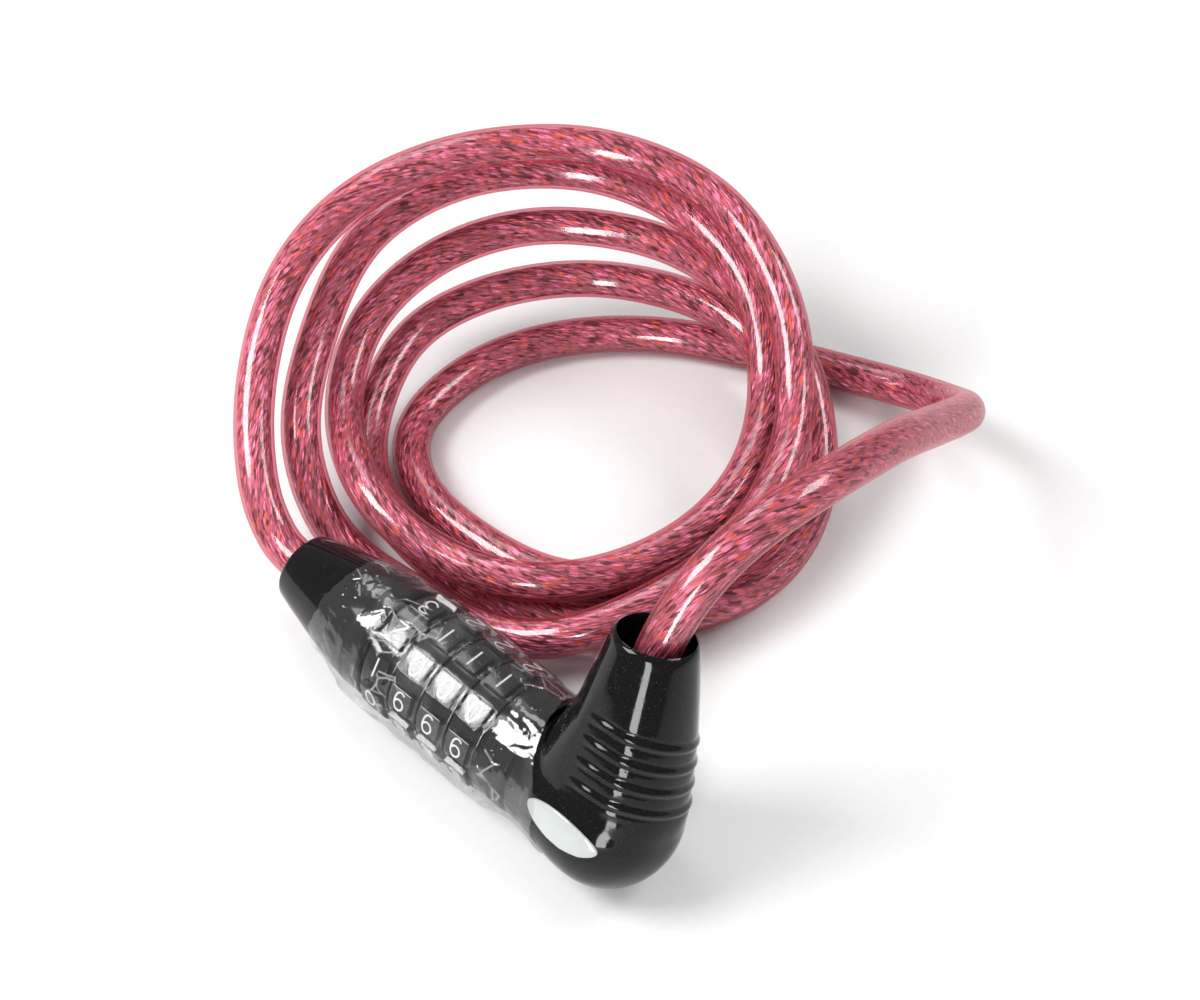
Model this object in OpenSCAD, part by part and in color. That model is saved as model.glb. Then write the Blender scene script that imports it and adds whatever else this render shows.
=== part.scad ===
// Combination cable lock: a four-dial barrel, an elbow-shaped plug and a self-coiling cable.
// The barrel lies along X with its dials centred between the collars, and stands on Z = 0.

/* [Dials] */
// Number of dials on the barrel
dial_count = 4; // [4:1:4]
// Distance from one dial to the next along the barrel
dial_pitch = 7.3; // [7:0.1:7.6]
// Distance from the barrel's axis to the flat of a number tile
tile_flat_r = 12.3; // [12:0.1:12.4]
// Width of one number tile around the dial
tile_w = 5.2; // [4.6:0.1:5.4]
// Turn of the first dial away from its neighbours
first_dial_turn = 12; // [0:1:18]

/* [Barrel] */
// Outer radius of the two collars beside the dials
collar_r = 11.9; // [11.5:0.1:12]
// Radius of the bore that the locking pin slides in
core_bore_r = 4; // [3.8:0.1:4.2]
// Outer radius of the steel core tube
core_r = 7.2; // [7:0.1:7.4]
// Height of the barrel's axis above the ground
axis_h = 13.6; // [13.6:0.1:14]

/* [Cap] */
// Length of the cone cap from its collar to its tip
cap_len = 23.1; // [21:0.1:25]
// Radius of the cap's tip
cap_tip_r = 7; // [6.6:0.1:7.4]

/* [Elbow] */
// Distance from the dials' middle to the elbow's corner
elbow_x = 38.3; // [38:0.1:39]
// Largest radius of the elbow about the barrel's axis
elbow_r = 13.6; // [13.2:0.1:13.6]
// Height of the elbow's mouth above the barrel's axis, along the arm
arm_len = 37.5; // [36:0.5:40]
// Lean of the arm back over the dials
arm_lean = 5.2; // [4:0.1:6]
// Roll of the arm about the barrel's axis
arm_roll = 22.5; // [15:0.5:25]
// Inner radius of the elbow's mouth
mouth_r = 6.7; // [6.4:0.1:6.8]

/* [Cable] */
// Diameter of the cable over its sleeve
cable_d = 8; // [8:0.1:8]
// Diameter of the steel rope inside the sleeve
rope_d = 6; // [5.6:0.1:6.2]

/* [Film] */
// Thickness of the clear film around the dials
film_t = 0.25; // [0.2:0.05:0.3]

/* [Hidden] */
$fn = 64;

// Middle of the lock's footprint, so that the origin is under the middle of its box
lock_mid = [4.3, 4.2, 0];

// Stations along the barrel, from the dials' middle
dials_half = dial_count * dial_pitch / 2;
collar_w = 4.8;
rear_x = -dials_half - collar_w;
front_w = 7.2;
front_x = dials_half + front_w;
cap_tip_x = rear_x - cap_len;
ferrule_len = 13;
rope_stub_len = 10;
cap_seat_x = -36;
running_gap = 0.1;
joint_gap = 0.3;

// Dials and code rings
tiles = 10;
dial_gap = 0.4;
dial_rim_r = tile_flat_r - 0.9;
tile_len = 5.4;
ring_gap = 1.6;
ring_r = 9.4;
gate_w = 2.6;
dial_turns = [first_dial_turn, 0, 0, 0];

// Core tube, its slot and its spring
slot_w = 2.4;
spring_w = 3;
spring_t = 0.4;
core_left = cap_seat_x + ferrule_len;
core_right = front_x - 0.6;

// Locking pin and its teeth
pin_r = core_bore_r - running_gap;
pin_left = core_left + 4;
tooth_w = 2;
tooth_t = 1;
tooth_r = 8.8;

// Elbow arm, measured along the arm from the barrel's axis
arm_axis = [-sin(arm_lean), cos(arm_lean) * sin(arm_roll), cos(arm_lean) * cos(arm_roll)];
ferrule_r = 4.6;
ferrule_foot = 5;
ferrule_top = 18;
rivet_r = 1.5;
arm_outline = [[0, 12.7], [6, 12.5], [12, 12], [20, 11], [28, 9.5], [33, 8.5], [arm_len - 0.5, 7.65]];
elbow_outline = [[front_x + joint_gap, 11.8], [27, 12], [31, 12.9], [35, 13.5], [elbow_x, elbow_r]];
elbow_end = 12.7;

// Inlay on the elbow's cheek
inlay_l = 16;
inlay_w = 5.6;
inlay_x = 36.6;
inlay_turn = 27;
inlay_t = 0.8;

// Film sleeve
film_r = tile_flat_r + 0.45;
film_left = -30;
film_right = 33;
film_slant = 28;
film_turn = 45;
film_mid = 26.5;

// Cable route from the elbow's ferrule to the cap's ferrule, in round numbers.
// The turns fan out: they are bunched beside the barrel and climb one above another at the back.
route = [
    [37, 22, 56], [38.5, 32, 61], [40, 44, 62], [40, 57, 59], [37.5, 75, 50], [34, 92, 38],
    [29, 111, 23.5], [21, 120, 13], [8, 123, 6], [-9, 118, 4],
    // lowest turn
    [-26, 110, 4], [-43, 100, 4], [-57, 85, 4], [-64, 66, 4], [-61, 46, 4], [-48, 35, 4],
    [-29, 32.8, 4], [-10, 37.5, 4], [3, 52, 4], [5, 72, 4.5], [-1, 92.5, 7], [-16.7, 105.8, 11],
    // second turn
    [-36, 107, 13.2], [-57, 97, 13.5], [-70, 79, 14], [-74, 59, 13], [-67, 40.5, 10], [-54, 27.5, 7],
    [-33, 23, 4.5], [-10, 27, 4], [6.5, 38, 4], [17, 56, 4], [17.5, 75, 5], [9.5, 91, 10.5],
    [-7.5, 104, 18.4],
    // third turn
    [-29.6, 108.6, 22], [-49, 103.5, 26], [-68, 89, 27], [-77, 69, 26], [-77, 49, 21.5], [-66.3, 31.8, 16],
    [-46.5, 20.2, 16.2], [-28, 20, 13], [-11, 26.5, 12.5], [0, 40, 12.3], [5.5, 58, 13.5], [3, 77, 15.5],
    [-7, 93.5, 20], [-21.4, 103.8, 29.6],
    // fourth turn
    [-42, 107, 35], [-63, 99, 38.5], [-79, 80, 39], [-84, 57, 35.5], [-77, 36, 27.5], [-64.2, 18.8, 18.8],
    [-48.5, 12.6, 7.5], [-28, 14.6, 4], [-9, 18, 6], [2, 24, 9], [10, 36, 12.5], [15, 54, 16],
    [12.5, 73, 20], [3.5, 89.5, 25], [-12.5, 102, 36],
    // top turn, which ends in the cap
    [-35, 107, 44], [-58, 97.5, 49], [-75, 77, 50.5], [-84, 55, 47], [-83, 34.5, 40], [-73.5, 17, 30.5],
    [-61, 5, 21.5], [-51, 0.5, 15.5]
];

function arm_point(h) = [elbow_x, 0, axis_h] + h * arm_axis;
cable_points = concat(
    [arm_point(ferrule_top), arm_point(ferrule_top + 10), arm_point(arm_len) + [1.2, 1.2, 0.6]],
    route,
    [[cap_tip_x + 0.5, 0, axis_h], [cap_seat_x, 0, axis_h]]
);
cable_sides = 8;

// Moves a shape drawn about the X axis up to the barrel's axis.
module on_barrel() {
    translate([0, 0, axis_h]) children();
}

// A solid of revolution about the barrel's axis; the outline holds [x, radius] points.
module turned(outline) {
    on_barrel() rotate([0, 90, 0]) rotate_extrude() polygon([for (p = outline) [p[1], p[0]]]);
}

// A round bar along the barrel's axis from one station to another.
module bar(x0, x1, r) {
    on_barrel() translate([x0, 0, 0]) rotate([0, 90, 0]) cylinder(r = r, h = x1 - x0);
}

// A tube along the barrel's axis; the bore runs a little past both faces.
module sleeve(x0, x1, r, bore) {
    difference() {
        bar(x0, x1, r);
        bar(x0 - 1, x1 + 1, bore);
    }
}

// Places a shape drawn along Z from the barrel's axis on the elbow's arm.
module on_arm() {
    translate([elbow_x, 0, axis_h]) rotate([-arm_roll, 0, 0]) rotate([0, -arm_lean, 0]) children();
}

// The slot's side of the barrel, as a block from the axis outwards.
module slot_block(x0, x1, w, r) {
    on_barrel() translate([x0, -w / 2, -r]) cube([x1 - x0, w, r]);
}

module cone_cap() {
    color("#161616") difference() {
        turned([
            [cap_tip_x, 0], [cap_tip_x, cap_tip_r - 0.6], [cap_tip_x + 0.6, cap_tip_r],
            [-32, 9.6], [-25, 11.2], [rear_x, collar_r], [rear_x, 0]
        ]);
        bar(cap_tip_x - 1, cap_seat_x + 1, cable_d / 2 + running_gap);
        bar(cap_seat_x, core_left, ferrule_r);
        bar(core_left, rear_x + 1, 9);
    }
}

module fixed_ferrule() {
    color("#8c8f94") sleeve(cap_seat_x, core_left, ferrule_r, rope_d / 2);
}

module fixed_rope_end() {
    color("#a9abae") bar(cap_seat_x, cap_seat_x + rope_stub_len, rope_d / 2);
}

module rear_collar() {
    color("#1b1b1c") difference() {
        sleeve(rear_x, -dials_half - dial_gap / 2, collar_r, core_r);
        bar(-dials_half - tooth_t, -dials_half + 1, tooth_r + 0.3);
    }
}

module core_tube() {
    color("#9a9da1") difference() {
        union() {
            bar(core_left, rear_x, 9);
            bar(core_left, core_right, core_r);
        }
        bar(core_left + 2, core_right + 1, core_bore_r);
        slot_block(pin_left - 1, core_right + 1, slot_w, core_r + 1);
        on_barrel() translate([-dials_half, -spring_w / 2 - running_gap, core_r - 1])
            cube([2 * dials_half, spring_w + 2 * running_gap, 2]);
    }
}

// A strip with one raised click leaf under each code ring.
module detent_spring() {
    color("#c2c4c6") on_barrel() translate([-dials_half + 0.2, -spring_w / 2, core_r - 1]) {
        cube([2 * dials_half - 0.4, spring_w, spring_t]);
        for (i = [0 : dial_count - 1])
            translate([(i + 0.5) * dial_pitch - 1.4, 0, spring_t]) cube([2.4, spring_w, 0.45]);
    }
}

module retaining_ring() {
    color("#6d7074") difference() {
        sleeve(front_x - 3, front_x - 2, core_r + 1.4, core_r);
        slot_block(front_x - 4, front_x, 4, core_r + 3);
    }
}

// The front collar, slotted so that the pin's teeth pass through it.
module front_collar() {
    color("#1b1b1c") difference() {
        sleeve(dials_half + dial_gap / 2, front_x, collar_r, core_r);
        bar(front_x - 3, front_x + 1, core_r + 1.4);
        slot_block(dials_half - 1, front_x + 1, gate_w, tooth_r + 0.3);
    }
}

module shrink_film() {
    color([0.9, 0.9, 0.92, 0.35]) difference() {
        turned([
            [film_left, 10.6], [-25, 11.7], [rear_x, 12.4], [-dials_half, film_r],
            [dials_half, film_r], [front_x, 12.3], [27, 12.3], [31, 13.05], [film_right, 13.35],
            [film_right, 13.35 + film_t], [31, 13.05 + film_t], [27, 12.3 + film_t], [front_x, 12.3 + film_t],
            [dials_half, film_r + film_t], [-dials_half, film_r + film_t], [rear_x, 12.4 + film_t],
            [-25, 11.7 + film_t], [film_left, 10.6 + film_t]
        ]);
        translate([film_mid, 0, axis_h]) rotate([-film_turn, 0, 0]) rotate([0, -film_slant, 0])
            translate([0, -30, -30]) cube([30, 60, 60]);
    }
}

// One number dial: a ring with ten flat tiles standing on it.
module dial(index) {
    middle = (index + 0.5) * dial_pitch - dials_half;
    half = (dial_pitch - dial_gap) / 2;
    color("#202022") difference() {
        union() {
            bar(middle - half, middle + half, dial_rim_r);
            for (i = [0 : tiles - 1])
                on_barrel() rotate([i * 360 / tiles + dial_turns[index] + 32, 0, 0])
                    translate([middle - tile_len / 2, -tile_w / 2, 8])
                        cube([tile_len, tile_w, tile_flat_r - 8]);
        }
        bar(middle - dial_pitch, middle + dial_pitch, ring_r);
    }
}

// One code ring: its gate lines up with the core tube's slot at the opening number.
module code_ring(index) {
    middle = (index + 0.5) * dial_pitch - dials_half;
    half = (dial_pitch - ring_gap) / 2;
    color("#b08d4a") difference() {
        sleeve(middle - half, middle + half, ring_r, core_r + running_gap);
        slot_block(middle - dial_pitch, middle + dial_pitch, gate_w, tooth_r + 0.2);
    }
}

// The elbow's outside: a turned barrel end with a rounded nose, and a tapered arm with grip ribs.
module elbow_outside() {
    nose = [for (a = [10 : 10 : 90]) [elbow_x + elbow_end * sin(a), elbow_r * cos(a)]];
    turned(concat([[front_x + joint_gap, 0]], elbow_outline, nose));
    on_arm() rotate_extrude() polygon(concat(
        [[0, 0]],
        [for (p = arm_outline) [p[1], p[0]]],
        [[7.1, arm_len], [0, arm_len]]
    ));
    on_arm() intersection() {
        for (h = [8 : 4.2 : 21])
            translate([0, 0, h]) cylinder(r1 = 12.9 - h * 0.08, r2 = 12.4 - h * 0.08, h = 1.6);
        translate([-2, -20, 0]) cube([20, 40, 30]);
    }
}

// An upright oval bar through the near cheek, which cuts both the inlay and its pocket.
module inlay_prism() {
    translate([inlay_x, 0, axis_h]) rotate([90 - inlay_turn, 0, 0])
        linear_extrude(height = 20) scale(1) inlay_oval();
}

module inlay_oval() {
    hull() {
        translate([-inlay_l / 4, 0]) circle(r = inlay_w * 0.45);
        translate([inlay_l / 4, 0]) circle(r = inlay_w * 0.45);
        circle(r = inlay_w / 2);
        translate([-inlay_l / 2 + 1.2, 0]) circle(r = 1.2);
        translate([inlay_l / 2 - 1.2, 0]) circle(r = 1.2);
    }
}

// The skin of the elbow's barrel end, from its surface down to the inlay's depth.
module cheek_skin(depth) {
    intersection() {
        inlay_prism();
        difference() {
            turned(concat([[front_x + joint_gap, 0]], elbow_outline, [[elbow_x + 9, elbow_r], [elbow_x + 9, 0]]));
            turned(concat(
                [[front_x, 0]],
                [for (p = elbow_outline) [p[0], p[1] - depth]],
                [[elbow_x + 10, elbow_r - depth], [elbow_x + 10, 0]]
            ));
        }
    }
}

module elbow() {
    color("#141414") difference() {
        elbow_outside();
        on_arm() rotate_extrude() polygon([
            [0, ferrule_foot], [ferrule_r, ferrule_foot], [ferrule_r, ferrule_top],
            [4.6, ferrule_top], [6.2, 30], [mouth_r, arm_len - 0.4], [mouth_r + 0.4, arm_len + 1], [0, arm_len + 1]
        ]);
        bar(front_x - 1, elbow_x + 3, pin_r);
        on_barrel() translate([elbow_x, 0, 0]) rotate([90 - inlay_turn, 0, 0]) cylinder(r = rivet_r, h = 11);
        cheek_skin(inlay_t);
    }
}

module plug_ferrule() {
    color("#8c8f94") on_arm() translate([0, 0, ferrule_foot]) difference() {
        cylinder(r = ferrule_r, h = ferrule_len);
        translate([0, 0, -1]) cylinder(r = rope_d / 2, h = ferrule_len + 2);
    }
}

module plug_rope_end() {
    color("#a9abae") on_arm() translate([0, 0, ferrule_top - rope_stub_len])
        cylinder(r = rope_d / 2, h = rope_stub_len);
}

// The locking pin: a round steel pin with one tooth behind each code ring.
module locking_pin() {
    color("#b9bcc0") difference() {
        union() {
            bar(pin_left, elbow_x + 3, pin_r);
            for (i = [0 : dial_count - 1])
                slot_block(
                    i * dial_pitch - dials_half - tooth_t / 2,
                    i * dial_pitch - dials_half + tooth_t / 2,
                    tooth_w, tooth_r
                );
        }
        on_barrel() translate([elbow_x, 0, 0]) rotate([90 - inlay_turn, 0, 0])
            translate([0, 0, -10]) cylinder(r = rivet_r, h = 21);
    }
}

module cross_rivet() {
    color("#8c8f94") on_barrel() translate([elbow_x, 0, 0]) rotate([90 - inlay_turn, 0, 0])
        cylinder(r = rivet_r, h = 11);
}

module cheek_inlay() {
    color("#dfe3e1") cheek_skin(inlay_t);
}

// Sweeps a many-sided tube along points; each ring faces along the mean of its two legs.
function unit(v) = v / norm(v);
function heading(points, i) =
    i == 0 ? unit(points[1] - points[0]) :
    i == len(points) - 1 ? unit(points[i] - points[i - 1]) :
    unit(unit(points[i] - points[i - 1]) + unit(points[i + 1] - points[i]));
function side_axis(points, i) = unit(cross(heading(points, i), [0.13, 0.11, 1]));
function ring(points, i, r, n) =
    let (t = heading(points, i), u = side_axis(points, i), v = cross(t, u))
    [for (k = [0 : n - 1]) points[i] + r * (cos(360 * k / n) * u + sin(360 * k / n) * v)];

module tube(points, r, n) {
    last = len(points) - 1;
    corners = [for (i = [0 : last]) each ring(points, i, r, n)];
    walls = [for (i = [0 : last - 1], k = [0 : n - 1]) each [
        [i * n + k, (i + 1) * n + k, i * n + (k + 1) % n],
        [(i + 1) * n + k, (i + 1) * n + (k + 1) % n, i * n + (k + 1) % n]
    ]];
    ends = [[for (k = [0 : n - 1]) k], [for (k = [n - 1 : -1 : 0]) last * n + k]];
    polyhedron(points = corners, faces = concat(walls, ends));
}

module cable() {
    color("#b8466f") tube(cable_points, cable_d / 2, cable_sides);
}

module placed() {
    translate(-lock_mid) children();
}

placed() cone_cap();
placed() fixed_ferrule();
placed() fixed_rope_end();
placed() rear_collar();
placed() core_tube();
placed() detent_spring();
placed() retaining_ring();
placed() front_collar();
placed() shrink_film();
placed() cable();
placed() dial(0);  // dial_1
placed() dial(1);  // dial_2
placed() dial(2);  // dial_3
placed() dial(3);  // dial_4
placed() code_ring(0);  // code_ring_1
placed() code_ring(1);  // code_ring_2
placed() code_ring(2);  // code_ring_3
placed() code_ring(3);  // code_ring_4
placed() elbow();
placed() plug_ferrule();
placed() plug_rope_end();
placed() locking_pin();
placed() cross_rivet();
placed() cheek_inlay();
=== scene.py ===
"""Four-dial combination cable lock: a black barrel in torn clear film, an elbow plug and a coiled pink cable.

Lengths in the classes are in millimetres, in the barrel's own frame: X along the barrel from the dials'
middle towards the elbow, Z up from the ground. Meshes are made in metres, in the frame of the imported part.
"""

import logging
import math
from dataclasses import dataclass, field
from enum import Enum
from typing import Callable, Iterable, Sequence

import bmesh
import bpy
import numpy as np
from mathutils import Matrix, Vector, noise


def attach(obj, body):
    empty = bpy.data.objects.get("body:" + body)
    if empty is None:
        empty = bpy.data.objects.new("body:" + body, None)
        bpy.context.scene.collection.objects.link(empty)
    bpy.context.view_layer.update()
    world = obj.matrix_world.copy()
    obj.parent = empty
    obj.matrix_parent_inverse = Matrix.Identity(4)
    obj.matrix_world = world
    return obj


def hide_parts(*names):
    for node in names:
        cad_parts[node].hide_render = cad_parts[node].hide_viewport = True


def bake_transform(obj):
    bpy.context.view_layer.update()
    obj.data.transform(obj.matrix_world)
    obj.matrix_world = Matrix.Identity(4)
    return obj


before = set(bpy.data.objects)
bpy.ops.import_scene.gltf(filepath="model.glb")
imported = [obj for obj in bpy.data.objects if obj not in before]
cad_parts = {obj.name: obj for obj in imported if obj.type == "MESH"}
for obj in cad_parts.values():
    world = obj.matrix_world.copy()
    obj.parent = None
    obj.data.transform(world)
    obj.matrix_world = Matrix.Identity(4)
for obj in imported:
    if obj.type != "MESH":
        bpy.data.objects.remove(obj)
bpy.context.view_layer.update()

log = logging.getLogger("cable_lock")
logging.basicConfig(level=logging.INFO, format="%(name)s: %(message)s")

Point = Sequence[float]
Colour = tuple[float, float, float]

MM = 0.001
FRAME_SHIFT = Vector((-4.3, -4.2, 0.0))
AXIS_H = 13.6
LOCK_BODY = "lock_body"
PLUG = "plug"
INDEX_ROW = -32.0
FIRST_DIAL_TURN = 12.0
DIAL_PITCH = 7.3
TILES = 10
TILE_STEP = 360 / TILES


def in_metres(point: Point) -> Vector:
    """A point of the barrel's frame, in metres in the part's frame."""
    return (Vector(point) + FRAME_SHIFT) * MM


def placed(name: str, data: bpy.types.ID) -> bpy.types.Object:
    """Makes an object and puts it in the scene."""
    item = bpy.data.objects.new(name, data)
    bpy.context.scene.collection.objects.link(item)
    return item


def rounded(corners: np.ndarray, parts: int) -> np.ndarray:
    """A smooth line through corners.

    Args:
        corners: the points it passes.
        parts: how many points there are for each leg.

    Returns:
        The line's points.
    """
    out = []
    for i in range(len(corners) - 1):
        p0, p1 = corners[max(i - 1, 0)], corners[i]
        p2, p3 = corners[i + 1], corners[min(i + 2, len(corners) - 1)]
        for k in range(parts):
            t = k / parts
            out.append(
                0.5 * (2 * p1 + (p2 - p0) * t + (2 * p0 - 5 * p1 + 4 * p2 - p3) * t * t
                       + (3 * p1 - p0 - 3 * p2 + p3) * t**3)
            )
    return np.array(out + [corners[-1]])


# ---------------------------------------------------------------- finishes


class Value:
    """A socket in a finish's node tree, which adds its Math nodes when it is used in an expression."""

    def __init__(self, tree: "FinishTree", socket: bpy.types.NodeSocket) -> None:
        """Wraps an output socket.

        Args:
            tree: the finish's tree that the socket is in.
            socket: the output socket.
        """
        self.tree = tree
        self.socket = socket

    def maths(self, operation: str, first: "Value | float", second: "Value | float" = 0.0) -> "Value":
        """Adds one Math node.

        Args:
            operation: the node's operation.
            first: its first number.
            second: its second number.

        Returns:
            The node's result.
        """
        return self.tree.node("ShaderNodeMath", {"operation": operation}, {0: first, 1: second})

    def __add__(self, other: "Value | float") -> "Value":
        """Adds."""
        return self.maths("ADD", self, other)

    def __radd__(self, other: float) -> "Value":
        """Adds, with the number first."""
        return self.maths("ADD", other, self)

    def __sub__(self, other: "Value | float") -> "Value":
        """Subtracts."""
        return self.maths("SUBTRACT", self, other)

    def __rsub__(self, other: float) -> "Value":
        """Subtracts from a number."""
        return self.maths("SUBTRACT", other, self)

    def __mul__(self, other: "Value | float") -> "Value":
        """Multiplies."""
        return self.maths("MULTIPLY", self, other)

    def __rmul__(self, other: float) -> "Value":
        """Multiplies, with the number first."""
        return self.maths("MULTIPLY", other, self)

    def __pow__(self, other: "Value | float") -> "Value":
        """Raises to a power."""
        return self.maths("POWER", self, other)

    def __gt__(self, other: "Value | float") -> "Value":
        """One where this is greater, and otherwise zero."""
        return self.maths("GREATER_THAN", self, other)

    def sine(self) -> "Value":
        """The sine."""
        return self.maths("SINE", self)

    def clipped(self) -> "Value":
        """The number held between zero and one."""
        return self.tree.node("ShaderNodeClamp", {}, {"Value": self})


class FinishTree:
    """The node tree of one finish."""

    def __init__(self, name: str) -> None:
        """Starts an empty material.

        Args:
            name: the material's name.
        """
        self.material = bpy.data.materials.new(name)
        self.material.use_nodes = True
        self.nodes = self.material.node_tree.nodes
        self.links = self.material.node_tree.links
        self.nodes.clear()

    def node(
        self,
        kind: str,
        settings: dict[str, object] | None = None,
        values: dict[str | int, object] | None = None,
        output: str | int = 0,
    ) -> Value:
        """Adds any node.

        Args:
            kind: the node's type.
            settings: its own settings, made first; "stops" holds a ramp's (place, colour) pairs.
            values: numbers, colours or links for its sockets, by name or place.
            output: the output that is returned.

        Returns:
            That output.
        """
        made = self.nodes.new(kind)
        for key, value in (settings or {}).items():
            if key == "stops":
                ramp = made.color_ramp
                while len(ramp.elements) < len(value):
                    ramp.elements.new(1.0)
                for element, (place, colour) in zip(ramp.elements, value):
                    element.position = place
                    element.color = (*colour, 1.0)
            else:
                setattr(made, key, value)
        for key, value in (values or {}).items():
            socket = made.inputs[key]
            if isinstance(value, Value):
                self.links.new(value.socket, socket)
            elif isinstance(value, tuple) and len(value) == 3 and socket.type == "RGBA":
                socket.default_value = (*value, 1.0)
            else:
                socket.default_value = value
        return Value(self, made.outputs[output])

    def place(self) -> Value:
        """The surface's place in the part's frame, in metres."""
        return self.node("ShaderNodeTexCoord", output="Object")

    def grain(self, scale: float, detail: float = 3.0, rough: float = 0.5, at: Value | None = None) -> Value:
        """Even noise.

        Args:
            scale: how many features there are in a metre.
            detail: octaves of noise.
            rough: how strong the finer octaves are.
            at: where it is read; the surface's place if left out.

        Returns:
            The noise, from 0 to 1.
        """
        where = at or self.place()
        return self.node(
            "ShaderNodeTexNoise", {}, {"Vector": where, "Scale": scale, "Detail": detail, "Roughness": rough}
        )

    def stretched(self, factors: tuple[float, float, float]) -> Value:
        """The surface's place, scaled differently along X, Y and Z.

        Args:
            factors: the three scales.

        Returns:
            The scaled place.
        """
        return self.node("ShaderNodeMapping", {}, {"Vector": self.place(), "Scale": factors})

    def cells(self, at: Value, scale: float, randomness: float = 1.0) -> Value:
        """The distance to the middle of the nearest cell.

        Args:
            at: where it is read.
            scale: how many cells there are along a unit of that place.
            randomness: how unevenly the cells lie.

        Returns:
            The distance.
        """
        values = {"Vector": at, "Scale": scale, "Randomness": randomness}
        return self.node("ShaderNodeTexVoronoi", {"feature": "F1"}, values)

    def mixed(self, share: "Value | float", first: "Value | Colour", second: "Value | Colour") -> Value:
        """A blend of two colours.

        Args:
            share: how much of the second colour shows.
            first: the first colour.
            second: the second colour.

        Returns:
            The blended colour.
        """
        wide = {6: first if isinstance(first, Value) else (*first, 1.0)}
        wide[7] = second if isinstance(second, Value) else (*second, 1.0)
        return self.node("ShaderNodeMix", {"data_type": "RGBA"}, {0: share, **wide}, output=2)

    def relief(self, height: Value, depth: float, strength: float = 1.0) -> Value:
        """A bump that feeds a surface's normal.

        Args:
            height: the relief, from 0 to 1.
            depth: how deep it is, in metres.
            strength: how much of it shows.

        Returns:
            The bent normal.
        """
        return self.node("ShaderNodeBump", {}, {"Height": height, "Distance": depth, "Strength": strength})

    def glossed(self, under: Value, gloss: Value, share: "Value | float" = 0.045, rim: float = 0.9) -> Value:
        """Lays a clear gloss on a shader, stronger towards grazing angles on both of the wall's sides.

        Args:
            under: the shader below.
            gloss: the gloss.
            share: how much of the gloss shows face on.
            rim: how much more of it shows at grazing angles.

        Returns:
            The glossy shader.
        """
        facing = self.node("ShaderNodeLayerWeight", {}, {"Blend": 0.5}, output="Facing")
        return self.node("ShaderNodeMixShader", {}, {0: share + rim * facing**5.0, 1: under, 2: gloss})

    def surface(self, **values: object) -> bpy.types.Material:
        """Closes the tree with a Principled shader.

        Args:
            values: its sockets, with underscores for spaces.

        Returns:
            The finished material.
        """
        named = {key.replace("_", " "): value for key, value in values.items()}
        return self.close(self.node("ShaderNodeBsdfPrincipled", {}, named))

    def close(self, shader: Value) -> bpy.types.Material:
        """Feeds a shader to the output.

        Args:
            shader: the last shader.

        Returns:
            The finished material.
        """
        end = self.nodes.new("ShaderNodeOutputMaterial")
        self.links.new(shader.socket, end.inputs["Surface"])
        return self.material


@dataclass(frozen=True)
class MouldedGloss:
    """Glossy black moulding with a faint ripple, hair scratches and a little dust."""

    name: str = "black_moulding"
    tone: Colour = (0.003, 0.003, 0.0034)
    gloss: float = 0.07
    ripple: float = 0.00002
    bend: float = 1.33

    def make(self) -> bpy.types.Material:
        """Builds the material."""
        tree = FinishTree(self.name)
        ripple = tree.grain(260, 2)
        scratches = tree.grain(900, 2, at=tree.stretched((0.15, 1.0, 1.0)))
        dust = tree.grain(5200, 0) > 0.77
        tone = tree.mixed(dust * 0.35, self.tone, (0.10, 0.098, 0.095))
        rough = self.gloss + 0.06 * (scratches > 0.62) + 0.05 * tree.grain(140, 2)
        return tree.surface(
            Base_Color=tone,
            Roughness=rough,
            IOR=self.bend,
            Normal=tree.relief(ripple + 0.12 * scratches, self.ripple, 0.6),
        )


@dataclass(frozen=True)
class DialPlastic:
    """Satin near-black plastic of the number tiles."""

    name: str = "dial_tile_plastic"
    tone: Colour = (0.006, 0.006, 0.007)

    def make(self) -> bpy.types.Material:
        """Builds the material."""
        tree = FinishTree(self.name)
        grain = tree.grain(2600, 2)
        tone = tree.mixed(tree.grain(420, 2), self.tone, (0.012, 0.012, 0.013))
        return tree.surface(
            Base_Color=tone, Roughness=0.1 + 0.06 * grain, IOR=1.6, Normal=tree.relief(grain, 0.00001, 0.5)
        )


@dataclass(frozen=True)
class NumeralPaint:
    """White paint of the numerals, thin in places."""

    name: str = "numeral_paint"

    def make(self) -> bpy.types.Material:
        """Builds the material."""
        tree = FinishTree(self.name)
        worn = tree.grain(3000, 3)
        return tree.surface(
            Base_Color=tree.mixed((worn - 0.45).clipped(), (0.56, 0.56, 0.55), (0.3, 0.3, 0.3)),
            Roughness=0.4 + 0.2 * worn,
        )


@dataclass(frozen=True)
class PaleInlay:
    """Smooth, very light grey plastic of the cheek inlay."""

    name: str = "pale_inlay"

    def make(self) -> bpy.types.Material:
        """Builds the material."""
        tree = FinishTree(self.name)
        cloud = tree.grain(180, 3)
        return tree.surface(
            Base_Color=tree.mixed(cloud, (0.33, 0.35, 0.345), (0.38, 0.40, 0.395)),
            Roughness=0.16 + 0.1 * tree.grain(1400, 2),
            Coat_Weight=0.3,
            Normal=tree.relief(cloud, 0.00003, 0.5),
        )


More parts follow.
